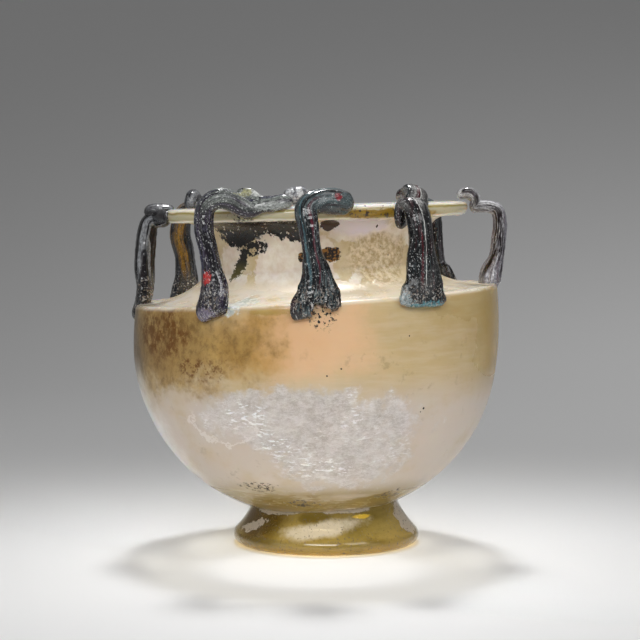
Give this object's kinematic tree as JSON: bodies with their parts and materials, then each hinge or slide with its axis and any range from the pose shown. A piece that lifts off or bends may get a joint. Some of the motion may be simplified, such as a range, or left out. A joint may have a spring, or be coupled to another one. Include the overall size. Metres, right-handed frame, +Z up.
{
  "type": "handled jar",
  "caption": "Small free-blown glass jar with a deep bowl, turned shoulder, wide neck, rolled rim, splayed foot and a ring of trailed handles from shoulder to rim.",
  "frame": {"origin": "on the standing plane, under the middle of the whole jar with its handles", "axes": "+Z up out of the mouth, -Y towards the pictured front, +X towards the right handle"},
  "size_m": [0.1028, 0.1045, 0.0984],
  "materials": {
    "weathered_glass": "pale amber blown glass under cream and brown weathering",
    "amber_glass": "olive gold glass, glossy",
    "dark_glass": "dark purple-black manganese glass with pale streaks, glossy"
  },
  "bodies": {
    "root": {"vessel": "weathered_glass", "foot": "amber_glass", "handle_front": "dark_glass", "handle_front_right": "dark_glass", "handle_right": "dark_glass", "handle_back_right": "dark_glass", "handle_back": "dark_glass", "handle_back_left": "dark_glass", "handle_left": "dark_glass", "handle_front_left": "dark_glass"}
  },
  "joints": []
}
